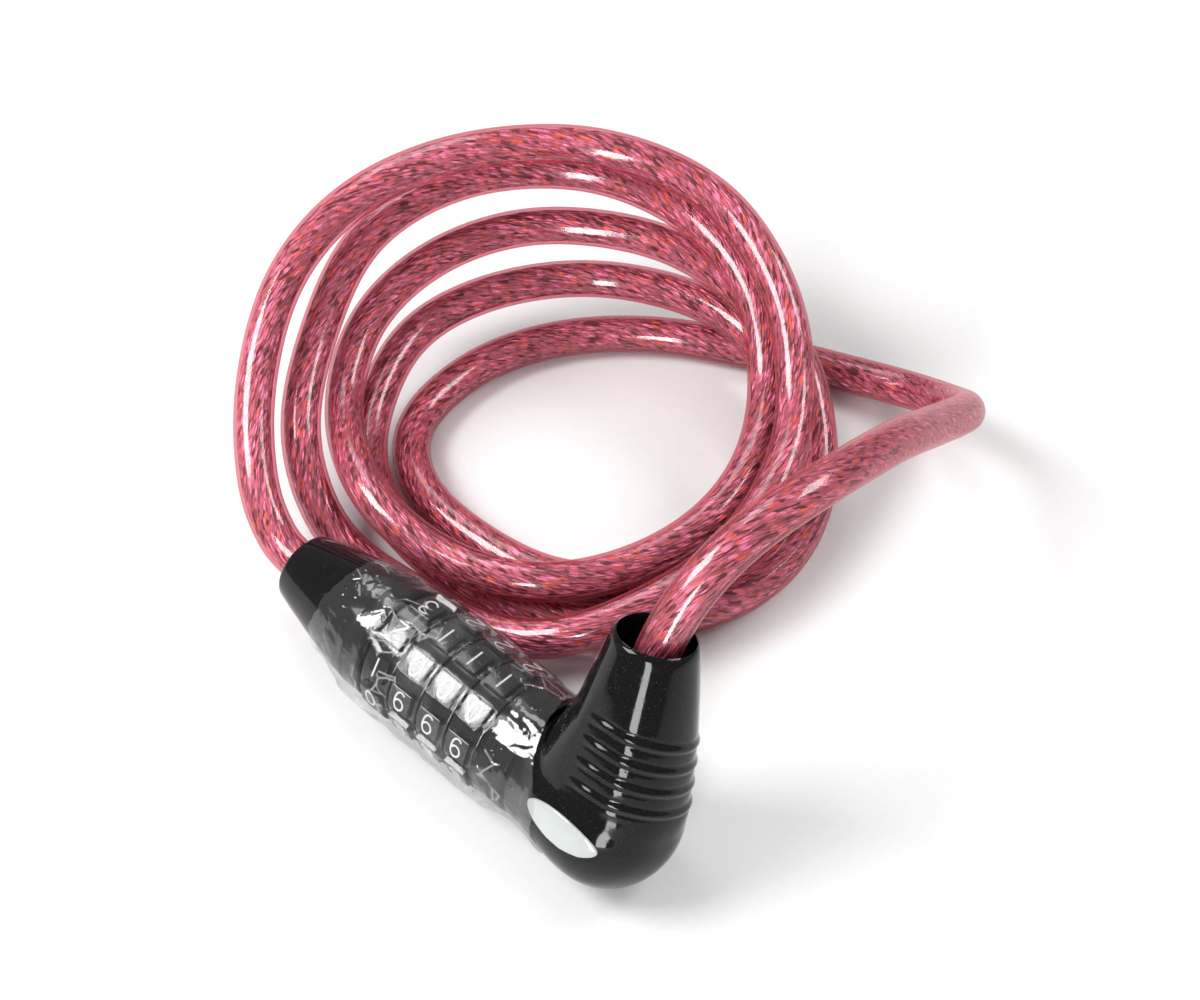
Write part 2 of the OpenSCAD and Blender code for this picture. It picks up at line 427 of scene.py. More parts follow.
@dataclass(frozen=True)
class ClearFilm:
    """Clear shrunk film: nearly invisible where smooth, milky along a few creases, with a hard gloss."""

    name: str = "clear_film"

    def make(self) -> bpy.types.Material:
        """Builds the material."""
        tree = FinishTree(self.name)
        creases = tree.node(
            "ShaderNodeTexVoronoi",
            {"feature": "DISTANCE_TO_EDGE"},
            {"Vector": tree.stretched((0.7, 1.0, 1.0)), "Scale": 260.0, "Randomness": 1.0},
        )
        line = (1.0 - creases * 22.0).clipped() * (tree.grain(110, 2) > 0.57)
        bubbles = tree.cells(tree.place(), 560.0)
        blister = (1.0 - bubbles * 3.0).clipped() * (tree.grain(150, 1) > 0.6)
        height = 0.8 * tree.grain(330, 3, 0.6) + 0.5 * line + 0.9 * blister
        bent = tree.relief(height, 0.00016, 0.9)
        clear = tree.node("ShaderNodeBsdfTransparent", {}, {"Color": (0.965, 0.965, 0.965)})
        milky = tree.node(
            "ShaderNodeBsdfPrincipled", {}, {"Base Color": (0.8, 0.8, 0.8), "Roughness": 0.45, "Normal": bent}
        )
        haze = 0.006 + 0.16 * line + 0.16 * (tree.grain(80, 3) - 0.55).clipped()
        gloss = tree.node("ShaderNodeBsdfGlossy", {}, {"Roughness": 0.05, "Normal": bent})
        middle = tree.node("ShaderNodeSeparateXYZ", {}, {0: tree.place()}) - FRAME_SHIFT.x * MM
        ends = ((middle.maths("ABSOLUTE", middle) - 0.0148) * 600.0).clipped()
        under = tree.node("ShaderNodeMixShader", {}, {0: haze, 1: clear, 2: milky})
        return tree.close(tree.glossed(under, gloss, 0.01 + 0.035 * ends + 0.03 * line, 0.6))


@dataclass(frozen=True)
class PinkSleeve:
    """Clear pink sleeve of the cable: tints what is behind it and keeps a sharp gloss."""

    name: str = "pink_sleeve"
    tint: Colour = (0.94, 0.53, 0.60)
    body: Colour = (0.50, 0.07, 0.12)

    def make(self) -> bpy.types.Material:
        """Builds the material."""
        tree = FinishTree(self.name)
        ripple = tree.grain(420, 2)
        bent = tree.relief(ripple, 0.00006, 0.6)
        tint = tree.node("ShaderNodeBsdfTransparent", {}, {"Color": self.tint})
        body = tree.node(
            "ShaderNodeBsdfPrincipled",
            {},
            {"Base Color": tree.mixed(tree.grain(150, 2), self.body, (0.58, 0.12, 0.10)), "Roughness": 0.5},
        )
        rim = tree.node("ShaderNodeLayerWeight", {}, {"Blend": 0.5}, output="Facing")
        share = (0.04 + 0.7 * rim**3.0).clipped()
        gloss = tree.node("ShaderNodeBsdfGlossy", {}, {"Roughness": 0.13, "Normal": bent})
        under = tree.node("ShaderNodeMixShader", {}, {0: share, 1: tint, 2: body})
        return tree.close(tree.glossed(under, gloss, 0.06, 0.35))


@dataclass(frozen=True)
class RopeWire:
    """Bright twisted wires with painted lilac and warm glints and painted shade between the strands, all in
    the base colour.
    """

    name: str = "rope_wire"
    wires: float = 3.0
    drift: float = 2.6

    def make(self) -> bpy.types.Material:
        """Builds the material."""
        tree = FinishTree(self.name)
        lay = tree.node("ShaderNodeUVMap", {"uv_map": "lay"})
        split = tree.node("ShaderNodeSeparateXYZ", {}, {0: lay})
        along = Value(tree, split.socket.node.outputs["Y"])
        across = tree.node("ShaderNodeMath", {"operation": "FRACT"}, {0: split})
        wobble = tree.grain(300, 2)
        phase = across * (2 * math.pi * self.wires) + along * (2 * math.pi / self.drift) + 2.5 * wobble
        wire = (phase.sine() * 0.5 + 0.5) ** 1.5
        dashes = tree.node(
            "ShaderNodeCombineXYZ",
            {},
            {0: split * 3.8 + along * 0.08 + 0.3 * wobble, 1: along * 0.56 + 0.5 * wobble, 2: 0.0},
        )
        cell = tree.cells(dashes, 1.0, 0.8)
        body = (1.0 - cell * 1.25).clipped()
        pick = tree.node("ShaderNodeSeparateColor", {}, {0: Value(tree, cell.socket.node.outputs["Color"])})
        other = Value(tree, pick.socket.node.outputs["Green"])
        rose = tree.mixed(other, (0.42, 0.27, 0.29), (0.74, 0.52, 0.62))
        # painted highlight: lilac and warm glints on some wire dashes are painted into the base colour
        lilac_painted_glint = tree.mixed(((pick - 0.70) * 12.0).clipped(), rose, (0.98, 0.74, 1.0))
        warm_painted_glint = tree.mixed(((pick - 0.88) * 14.0).clipped(), lilac_painted_glint, (0.88, 0.38, 0.18))
        # painted shade: dark dashes and darker dash edges stand for the shade in the gaps between strands
        gap_painted_shade = ((0.2 - pick) * 12.0).clipped()
        shade = (gap_painted_shade + (0.6 - body).clipped() * (0.4 + 1.2 * other)).clipped()
        tone = tree.mixed(shade, warm_painted_glint, (0.10, 0.06, 0.045))
        glint = (wire * body * (1.0 - gap_painted_shade) * 1.3).clipped()
        return tree.surface(
            Base_Color=tone,
            Metallic=0.25 + 0.5 * glint,
            Roughness=0.45 - 0.2 * glint,
            Normal=tree.relief(wire * 0.5 + body * 0.6, 0.0002, 0.9),
        )


@dataclass(frozen=True)
class TurnedMetal:
    """Metal with fine turning marks and a little staining."""

    name: str
    tone: Colour
    stain: Colour
    rough: float = 0.28

    def make(self) -> bpy.types.Material:
        """Builds the material."""
        tree = FinishTree(self.name)
        marks = tree.grain(1500, 2, at=tree.stretched((6.0, 0.6, 0.6)))
        cloud = tree.grain(160, 3)
        return tree.surface(
            Base_Color=tree.mixed((cloud - 0.35).clipped(), self.tone, self.stain),
            Metallic=1.0,
            Roughness=self.rough + 0.15 * marks,
            Normal=tree.relief(marks, 0.00002, 0.7),
        )


@dataclass(frozen=True)
class StudioPaper:
    """Matt white paper that the lock lies on."""

    name: str = "studio_paper"

    def make(self) -> bpy.types.Material:
        """Builds the material."""
        tree = FinishTree(self.name)
        fibre = tree.grain(600, 3)
        return tree.surface(
            Base_Color=tree.mixed(fibre, (0.68, 0.68, 0.68), (0.72, 0.72, 0.72)),
            Roughness=0.8 + 0.1 * fibre,
            Specular_IOR_Level=0.1,
        )


# ---------------------------------------------------------------- mesh making


@dataclass
class Meshes:
    """Makes mesh objects from points in the barrel's frame."""

    def build(
        self, name: str, points: Iterable[Point], faces: Sequence[Sequence[int]], sharp: float = 35.0
    ) -> bpy.types.Object:
        """Makes one smooth-shaded object.

        Args:
            name: the piece's name.
            points: its corners, in millimetres in the barrel's frame.
            faces: its faces.
            sharp: edges that turn more than this many degrees stay sharp.

        Returns:
            The new object.
        """
        mesh = bpy.data.meshes.new(name)
        mesh.from_pydata([in_metres(p) for p in points], [], [list(f) for f in faces])
        work = bmesh.new()
        work.from_mesh(mesh)
        bmesh.ops.recalc_face_normals(work, faces=work.faces)
        work.to_mesh(mesh)
        work.free()
        mesh.polygons.foreach_set("use_smooth", [True] * len(mesh.polygons))
        mesh.set_sharp_from_angle(angle=math.radians(sharp))
        return placed(name, mesh)

    def turned(
        self,
        name: str,
        outline: Sequence[tuple[float, float]],
        closed: bool,
        segments: int = 96,
        spot: Callable[[float, float, float], Vector] | None = None,
        sharp: float = 35.0,
    ) -> bpy.types.Object:
        """Turns an outline about an axis.

        Args:
            name: the piece's name.
            outline: (station, radius) points.
            closed: whether the outline runs back to its start; an open one ends on the axis.
            segments: how many faces go round.
            spot: places (station, radius, angle) in the barrel's frame; about the barrel if left out.
            sharp: edges that turn more than this many degrees stay sharp.

        Returns:
            The new object.
        """
        where = spot or barrel_spot
        points: list[Vector] = []
        rows: list[list[int]] = []
        for station, radius in outline:
            if radius < 1e-6:
                rows.append([len(points)] * segments)
                points.append(where(station, 0.0, 0.0))
                continue
            rows.append(list(range(len(points), len(points) + segments)))
            points.extend(where(station, radius, 2 * math.pi * k / segments) for k in range(segments))
        faces: list[list[int]] = []
        pairs = list(zip(rows, rows[1:])) + ([(rows[-1], rows[0])] if closed else [])
        for low, high in pairs:
            for k in range(segments):
                j = (k + 1) % segments
                face = list(dict.fromkeys([low[k], low[j], high[j], high[k]]))
                if len(face) > 2:
                    faces.append(face)
        return self.build(name, points, faces, sharp)


def barrel_spot(x: float, radius: float, angle: float) -> Vector:
    """A point about the barrel's axis; the angle runs from straight up towards the coil."""
    return Vector((x, radius * math.sin(angle), AXIS_H + radius * math.cos(angle)))


def softened(outline: Sequence[tuple[float, float]], radii: dict[int, float]) -> list[tuple[float, float]]:
    """Rounds some corners of an outline.

    Args:
        outline: (station, radius) points.
        radii: the rounding of each corner, by its place in the outline.

    Returns:
        The outline with small arcs in place of those corners.
    """
    out: list[tuple[float, float]] = []
    count = len(outline)
    for i, corner in enumerate(outline):
        size = radii.get(i, 0.0)
        if size <= 0:
            out.append(corner)
            continue
        here = Vector(corner)
        before = (Vector(outline[i - 1]) - here).normalized()
        after = (Vector(outline[(i + 1) % count]) - here).normalized()
        start, end = here + before * size, here + after * size
        for step in range(5):
            t = step / 4
            spot = (1 - t) ** 2 * start + 2 * t * (1 - t) * here + t * t * end
            out.append((spot.x, spot.y))
    return out


def dressed(item: bpy.types.Object, finish: bpy.types.Material) -> bpy.types.Object:
    """Gives a piece its finish.

    Args:
        item: the piece.
        finish: its material.

    Returns:
        The same piece.
    """
    item.data.materials.clear()
    item.data.materials.append(finish)
    return item


def smooth_step(low: float, high: float, x: float) -> float:
    """Rises smoothly from 0 at low to 1 at high."""
    t = min(max((x - low) / (high - low), 0.0), 1.0)
    return t * t * (3 - 2 * t)


# ---------------------------------------------------------------- the cable


@dataclass
class CableRoute:
    """The cable's own line from the elbow's ferrule, round the coil, to the cap's ferrule."""

    step: float = 2.5
    clearance: float = 8.15
    lowest: float = 4.03
    rounds: int = 60
    eases: tuple[float, float] = (0.5, -0.52)
    neighbours: int = 12
    held_head: int = 6
    held_tail: int = 8
    elbow_x: float = 38.3
    arm_len: float = 37.5
    arm_lean: float = 5.2
    arm_roll: float = 22.5
    turns: tuple[tuple[float, float, float], ...] = (
        (37, 22, 56), (38.5, 32, 61), (40, 44, 62), (40, 57, 59), (37.5, 75, 50), (34, 92, 38),
        (29, 111, 23.5), (21, 120, 13), (8, 123, 6), (-9, 118, 4),
        (-26, 110, 4), (-43, 100, 4), (-57, 85, 4), (-64, 66, 4), (-61, 46, 4), (-48, 35, 4),
        (-29, 32.8, 4), (-10, 37.5, 4), (3, 52, 4), (5, 72, 4.5), (-1, 92.5, 7), (-16.7, 105.8, 11),
        (-36, 107, 13.2), (-57, 97, 13.5), (-70, 79, 14), (-74, 59, 13), (-67, 40.5, 10), (-54, 27.5, 7),
        (-33, 23, 4.5), (-10, 27, 4), (6.5, 38, 4), (17, 56, 4), (17.5, 75, 5), (9.5, 91, 10.5),
        (-7.5, 104, 18.4),
        (-29.6, 108.6, 22), (-49, 103.5, 26), (-68, 89, 27), (-77, 69, 26), (-77, 49, 21.5),
        (-66.3, 31.8, 16), (-46.5, 20.2, 16.2), (-28, 20, 13), (-11, 26.5, 12.5), (0, 40, 12.3),
        (5.5, 58, 13.5), (3, 77, 15.5), (-7, 93.5, 20), (-21.4, 103.8, 29.6),
        (-42, 107, 35), (-63, 99, 38.5), (-79, 80, 39), (-84, 57, 35.5), (-77, 36, 27.5),
        (-64.2, 18.8, 18.8), (-48.5, 12.6, 7.5), (-28, 14.6, 4), (-9, 18, 6), (2, 24, 9), (10, 36, 12.5),
        (15, 54, 16), (12.5, 73, 20), (3.5, 89.5, 25), (-12.5, 102, 36),
        (-35, 107, 44), (-58, 97.5, 49), (-75, 77, 50.5), (-84, 55, 47), (-83, 34.5, 40),
        (-73.5, 17, 30.5), (-61, 5, 21.5), (-51, 0.5, 15.5),
    )

    def arm_axis(self) -> Vector:
        """The direction of the elbow's arm."""
        lean, roll = math.radians(self.arm_lean), math.radians(self.arm_roll)
        return Vector((-math.sin(lean), math.cos(lean) * math.sin(roll), math.cos(lean) * math.cos(roll)))

    def arm_foot(self) -> Vector:
        """Where the arm's axis meets the barrel's."""
        return Vector((self.elbow_x, 0, AXIS_H))

    def arm_point(self, height: float) -> Vector:
        """A point on the arm's axis, at a height above the barrel's axis."""
        return self.arm_foot() + self.arm_axis() * height

    def corners(self) -> np.ndarray:
        """The route's points, in the barrel's frame."""
        mouth = self.arm_point(self.arm_len) + Vector((1.2, 1.2, 0.6))
        head = [self.arm_point(18), self.arm_point(28), mouth]
        tail = [Vector((-42, 0, AXIS_H)), Vector((-36, 0, AXIS_H))]
        return np.array([tuple(p) for p in head] + list(self.turns) + [tuple(p) for p in tail], float)

    def centreline(self) -> np.ndarray:
        """The cable's line with its slack smoothed out and its turns kept off one another.

        Returns:
            Evenly spaced points, in millimetres in the barrel's frame.
        """
        line = self.even(rounded(self.corners(), 10))
        count = len(line)
        index = np.arange(count)
        near = np.abs(index[:, None] - index[None]) < self.neighbours
        from_ends = np.minimum(index - self.held_head, count - self.held_tail - index)
        loose = np.clip(from_ends / 6.0, 0, 1)[:, None]
        for _ in range(self.rounds):
            for push in self.eases:
                middle = line.copy()
                middle[1:-1] = (line[:-2] + line[2:]) / 2
                line = line + loose * push * (middle - line)
            gap = line[:, None] - line[None]
            far = np.linalg.norm(gap, axis=2)
            tight = (far < self.clearance) & ~near
            share = np.where(tight, (self.clearance - far) / np.maximum(far, 1e-6), 0.0)
            move = (gap * share[..., None]).sum(1) / np.maximum(tight.sum(1), 1)[:, None]
            line = line + loose * 0.5 * move
            line = self.off_barrel(line, loose)
            line[:, 2] = np.maximum(line[:, 2], self.lowest)
        return line

    def off_barrel(self, line: np.ndarray, loose: np.ndarray) -> np.ndarray:
        """Keeps the line outside the barrel and its film.

        Args:
            line: the cable's line.
            loose: how freely each point may move.

        Returns:
            The moved line.
        """
        out = line.copy()
        radial = line[:, 1:] - np.array([0.0, AXIS_H])
        far = np.linalg.norm(radial, axis=1)
        keep = np.interp(line[:, 0], (-44, -43, -32, -20, 20, 30, 33), (0, 11.3, 14.6, 17.2, 17.2, 18.2, 0))
        short = (far < keep) & (loose[:, 0] > 0)
        out[short, 1:] += (radial / np.maximum(far, 1e-6)[:, None])[short] * (keep - far)[short][:, None]
        return out

    def even(self, line: np.ndarray, step: float | None = None) -> np.ndarray:
        """The same line with evenly spaced points.

        Args:
            line: the line's points.
            step: their spacing, or the route's own.

        Returns:
            The evenly spaced points.
        """
        far = np.concatenate([[0], np.cumsum(np.linalg.norm(np.diff(line, axis=0), axis=1))])
        places = np.linspace(0, far[-1], max(int(far[-1] / (step or self.step)), 2) + 1)
        return np.stack([np.interp(places, far, line[:, k]) for k in range(3)], axis=1)


@dataclass
class SleevedCable:
    """Twisted steel rope in a clear pink sleeve, coiled beside the lock."""

    meshes: Meshes
    route: CableRoute = field(default_factory=CableRoute)
    radius: float = 4.0
    rope_radius: float = 3.32
    strands: int = 12
    lay_length: float = 56.0
    lobe: float = 0.3
    strand_corners: int = 6
    sleeve_corners: int = 28
    sleeve_step: float = 1.9
    rope_step: float = 1.3
    bend_way: tuple[float, float, float] = (1.0, -0.3, 0.5)
    bend_reach: tuple[float, float] = (-26.0, 54.0)

    def carried(self, line: np.ndarray) -> tuple[np.ndarray, np.ndarray]:
        """Two directions square to the line that don't twist along it.

        Args:
            line: the line's points.

        Returns:
            The two directions at each point.
        """
        heads = np.gradient(line, axis=0)
        heads /= np.linalg.norm(heads, axis=1)[:, None]
        side = np.cross(heads[0], (0.1, 0.2, 1.0))
        side /= np.linalg.norm(side)
        sides = [side]
        for head in heads[1:]:
            side = sides[-1] - head * (sides[-1] @ head)
            sides.append(side / np.linalg.norm(side))
        first = np.array(sides)
        return first, np.cross(heads, first)

    def tube(
        self, name: str, line: np.ndarray, around: int, shape: Callable[[int, float], tuple[float, float]]
    ) -> bpy.types.Object:
        """Sweeps a closed tube along a line.

        Args:
            name: the piece's name.
            line: the line's points.
            around: how many corners a ring has.
            shape: gives a corner's (angle, radius) from its number and its distance along the line.

        Returns:
            The tube, with a UV map "lay" of strand number and millimetres along.
        """
        first, second = self.carried(line)
        along = np.concatenate([[0], np.cumsum(np.linalg.norm(np.diff(line, axis=0), axis=1))])
        points: list[np.ndarray] = []
        for i, spot in enumerate(line):
            for k in range(around):
                angle, radius = shape(k, along[i])
                points.append(spot + radius * (math.cos(angle) * first[i] + math.sin(angle) * second[i]))
        faces = []
        for start in range(0, (len(line) - 1) * around, around):
            for k in range(around):
                j = (k + 1) % around
                faces.append([start + k, start + j, start + around + j, start + around + k])
        last = (len(line) - 1) * around
        walls = len(faces)
        faces += [list(range(around))[::-1], [last + k for k in range(around)]]
        tube = self.meshes.build(name, points, faces, 80.0)
        lay = tube.data.uv_layers.new(name="lay")
        spots = np.zeros((len(tube.data.loops), 2), np.float32)
        for face in tube.data.polygons:
            ring = face.index % around if face.index < walls else 0
            for loop in face.loop_indices:
                corner = tube.data.loops[loop].vertex_index
                k = corner % around
                k = around if (k == 0 and ring == around - 1) else k
                spots[loop] = (k * self.strands / around, along[corner // around])
        lay.data.foreach_set("uv", spots.ravel())
        return tube

    def rope_corner(self, k: int, along: float) -> tuple[float, float]:
        """A corner of the twisted rope, highest on its strand's crown."""
        per = self.strand_corners
        crown = abs(math.sin(math.pi * (k % per) / per))
        angle = 2 * math.pi * (k / (per * self.strands) + along / self.lay_length)
        return angle, self.rope_radius - self.lobe * (1 - crown) ** 1.3

    def sleeve_corner(self, k: int, along: float) -> tuple[float, float]:
        """A corner of the sleeve, which swells and thins by a few hundredths of a millimetre."""
        angle = 2 * math.pi * k / self.sleeve_corners
        swell = 0.035 * noise.noise(Vector((along * 0.05, math.cos(angle), math.sin(angle))))
        return angle, self.radius + swell - 0.02

    def build(self) -> None:
        line = rounded(self.route.centreline(), 3)
        smooth = self.route.even(line, self.sleeve_step)
        fine = self.route.even(line, self.rope_step)
        sleeve = self.tube("cable_sleeve", smooth, self.sleeve_corners, self.sleeve_corner)
        rope = self.tube("cable_rope", fine, self.strand_corners * self.strands, self.rope_corner)
        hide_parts("cable")
        for item, slot, finish in ((sleeve, "cable_sleeve", PinkSleeve()), (rope, "rope_steel", RopeWire())):
            dressed(item, finish.make())
            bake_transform(item)
        in_metres(self.route.arm_point(self.route.arm_len))


# ---------------------------------------------------------------- the barrel


@dataclass
class BarrelEnds:
    """The cone cap and the two collars."""

    meshes: Meshes
    cap_tip_x: float = -42.5
    rear_x: float = -19.4
    front_x: float = 21.8
    dials_half: float = 14.8
    collar_r: float = 11.9
    tube_r: float = 7.25
    segments: int = 112

    def build(self) -> None:
        """Builds and dresses the cap and collars."""
        black = MouldedGloss().make()
        cap_line = [
            (self.cap_tip_x, 4.15), (self.cap_tip_x, 7.0), (-38.0, 8.15), (-32.0, 9.6), (-28.0, 10.5),
            (-24.0, 11.3), (self.rear_x - 0.1, self.collar_r), (self.rear_x - 0.1, 9.0), (-23.0, 9.0),
            (-23.0, 4.6), (-36.0, 4.6), (-36.0, 4.15),
        ]
        rear_line = [
            (self.rear_x + 0.05, self.tube_r), (self.rear_x + 0.05, self.collar_r),
            (-self.dials_half, self.collar_r), (-self.dials_half, self.tube_r),
        ]
        front_line = [
            (self.dials_half, self.tube_r), (self.dials_half, self.collar_r), (18.9, self.collar_r),
            (19.0, 11.7), (19.4, 11.7), (19.5, self.collar_r), (self.front_x, self.collar_r),
            (self.front_x, 8.6), (18.8, 8.6), (18.8, self.tube_r),
        ]
        for name, node, slot, line, radii in (
            ("cone_cap_shell", "cone_cap", "cap_plastic", cap_line, {0: 0.5, 1: 0.9, 6: 0.25}),
            ("rear_collar_ring", "rear_collar", "collar_plastic", rear_line, {1: 0.25, 2: 0.3}),
            ("front_collar_ring", "front_collar", "collar_plastic", front_line, {1: 0.3, 6: 0.3}),
        ):
            item = self.meshes.turned(name, softened(line, radii), True, self.segments)
            dressed(item, black)
            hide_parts(node)
            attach(item, LOCK_BODY)
            log.info("barrel: %s", item.name)


class Numeral(Enum):
    """The numerals on a dial, each drawn by its own strokes."""

    ZERO = 0
    ONE = 1
    TWO = 2
    THREE = 3
    FOUR = 4
    FIVE = 5
    SIX = 6
    SEVEN = 7
    EIGHT = 8
    NINE = 9

    def strokes(self) -> list[tuple[bool, list[tuple[float, float]]]]:
        """The numeral's strokes, in millimetres from its middle; True marks a curved one."""
        six = [
            (0.95, 1.5), (0.4, 1.88), (-0.3, 1.82), (-0.85, 1.2), (-1.1, 0.1), (-1.08, -0.9), (-0.7, -1.68),
            (0.0, -1.95), (0.78, -1.65), (1.1, -0.85), (0.82, -0.1), (0.1, 0.25), (-0.6, 0.05), (-1.05, -0.5),
        ]
        drawn = {
            Numeral.ZERO: [(True, self.oval(0, 1.1, 1.93))],
            Numeral.ONE: [(False, [(0, -1.95), (0, 1.95)])],
            Numeral.TWO: [
                (True, [(-1.08, 1.1), (-0.88, 1.62), (-0.3, 1.93), (0.4, 1.88), (0.93, 1.5), (1.03, 0.95),
                        (0.8, 0.35), (0.1, -0.5), (-0.7, -1.3), (-1.12, -1.93)]),
                (False, [(-1.12, -1.93), (1.15, -1.93)]),
            ],
            Numeral.THREE: [
                (True, [(-1.05, 1.45), (-0.5, 1.88), (0.2, 1.92), (0.8, 1.6), (0.9, 1.05), (0.6, 0.45),
                        (-0.2, 0.2)]),
                (True, [(-0.2, 0.2), (0.7, -0.1), (1.08, -0.8), (0.88, -1.5), (0.2, -1.93), (-0.6, -1.83),
                        (-1.1, -1.35)]),
            ],
            Numeral.FOUR: [(False, [(0.5, -1.95), (0.5, 1.95), (-1.2, -0.9), (1.2, -0.9)])],
            Numeral.FIVE: [
                (False, [(1.0, 1.93), (-0.85, 1.93), (-1.0, 0.25)]),
                (True, [(-1.0, 0.25), (-0.3, 0.6), (0.5, 0.5), (1.08, -0.1), (1.08, -0.95), (0.6, -1.7),
                        (-0.2, -1.95), (-0.9, -1.7), (-1.12, -1.3)]),
            ],
            Numeral.SIX: [(True, six)],
            Numeral.SEVEN: [(False, [(-1.1, 1.93), (1.1, 1.93), (-0.3, -1.95)])],
            Numeral.EIGHT: [(True, self.oval(1.0, 0.9, 0.93)), (True, self.oval(-0.93, 1.1, 1.0))],
            Numeral.NINE: [(True, [(-x, -y) for x, y in six])],
        }
        return drawn[self]

    @staticmethod
    def oval(middle: float, across: float, tall: float) -> list[tuple[float, float]]:
        """Points round an oval whose last point is its first."""
        steps = [2 * math.pi * k / 16 for k in range(17)]
        return [(across * math.sin(t), middle + tall * math.cos(t)) for t in steps]


@dataclass
class NumberDials:
    """Four dials of ten raised tiles, each tile with a painted numeral."""

    meshes: Meshes
    length: float = 6.9
    tile_root: float = 10.4
    tile_flat: float = 12.3
    tile_taper: float = 0.93
    tile_length: float = 5.4
    tile_width: float = 5.2
    tile_edge: float = 0.22
    bore: float = 9.45
    rim: float = 11.4
    shown: tuple[int, ...] = (2, 0, 0, 0)
    stroke: float = 0.19
    stroke_lift: float = 0.07
    stroke_sides: int = 6

    def tile_points(self, work: bmesh.types.BMesh, middle: float, angle: float) -> None:
        """Adds one rounded tile to a dial.

        Args:
            work: the dial's mesh.
            middle: the dial's place along the barrel.
            angle: the tile's angle about the barrel, in degrees.
        """
        tile = bmesh.new()
        bmesh.ops.create_cube(tile, size=1.0)
        for v in tile.verts:
            top = v.co.z > 0
            narrow = self.tile_taper if top else 1.0
            v.co = Vector((
                v.co.x * self.tile_length * narrow, v.co.y * self.tile_width * narrow,
                self.tile_flat if top else self.tile_root,
            ))
        bmesh.ops.bevel(
            tile, geom=tile.edges[:], offset=self.tile_edge, segments=3, profile=0.6, affect="EDGES"
        )
        turn = Matrix.Rotation(math.radians(-angle), 4, "X")
        tile.transform(Matrix.Translation((middle, 0, AXIS_H)) @ turn)
        scratch = bpy.data.meshes.new("tile")
        tile.to_mesh(scratch)
        tile.free()
        work.from_mesh(scratch)
        bpy.data.meshes.remove(scratch)

    def numeral_parts(self, digit: Numeral, middle: float, angle: float, points: list, faces: list) -> None:
        """Adds one numeral's flattened strokes to a dial's numerals.

        Args:
            digit: which numeral.
            middle: the dial's place along the barrel.
            angle: the tile's angle about the barrel, in degrees.
            points: the corners so far.
            faces: the faces so far.
        """
        turn = math.radians(angle)
        normal = Vector((0, math.sin(turn), math.cos(turn)))
        up = -Vector((0, math.cos(turn), -math.sin(turn)))
        right = Vector((-1, 0, 0))
        centre = Vector((middle, 0, AXIS_H)) + normal * (self.tile_flat + 0.01)
        sides = self.stroke_sides
        for curved, stroke in digit.strokes():
            flat = np.array([(x, y, 0.0) for x, y in stroke])
            if curved:
                flat = rounded(flat, 3)
            heads = np.gradient(flat, axis=0)
            start = len(points)
            for spot, head in zip(flat, heads):
                side = Vector((-head[1], head[0], 0)).normalized()
                for k in range(sides):
                    a = 2 * math.pi * k / sides
                    p = Vector(spot) + side * math.cos(a) * self.stroke
                    lift = math.sin(a) * self.stroke_lift
                    points.append(centre + right * p.x * 0.97 + up * p.y + normal * lift)
            for i in range(len(flat) - 1):
                for k in range(sides):
                    a, b = start + i * sides + k, start + i * sides + (k + 1) % sides
                    faces.append([a, b, b + sides, a + sides])
            end = start + (len(flat) - 1) * sides
            faces.append([start + k for k in range(sides)][::-1])
            faces.append([end + k for k in range(sides)])

    def build(self) -> None:
        """Builds and dresses the four dials."""
        plastic = DialPlastic().make()
        paint = NumeralPaint().make()
        for index, shown in enumerate(self.shown):
            number = index + 1
            middle = (index - 1.5) * DIAL_PITCH
            left, right = middle - self.length / 2, middle + self.length / 2
            ring = softened(
                [(left, self.bore), (left, self.rim), (right, self.rim), (right, self.bore)],
                {1: 0.25, 2: 0.25},
            )
            dial = self.meshes.turned(f"dial_{number}_ring", ring, True, 100)
            work = bmesh.new()
            turn = FIRST_DIAL_TURN if index == 0 else 0.0
            points: list[Vector] = []
            faces: list[list[int]] = []
            for k in range(TILES):
                angle = INDEX_ROW + turn + TILE_STEP * k
                self.tile_points(work, middle, angle)
                self.numeral_parts(Numeral((shown + k) % TILES), middle, angle, points, faces)
            work.transform(Matrix.Scale(MM, 4) @ Matrix.Translation(FRAME_SHIFT))
            work.from_mesh(dial.data)
            bmesh.ops.recalc_face_normals(work, faces=work.faces)
            for face in work.faces:
                face.smooth = True
            work.to_mesh(dial.data)
            work.free()
            dial.data.set_sharp_from_angle(angle=math.radians(14))
            numerals = self.meshes.build(f"dial_{number}_numerals", points, faces, 60.0)
            dressed(dial, plastic)
            dressed(numerals, paint)
            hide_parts(f"dial_{number}")
            for item in (dial, numerals):
                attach(item, f"dial_{number}_body")
            log.info("dial %d: ten tiles and numerals, %d shown", number, shown)


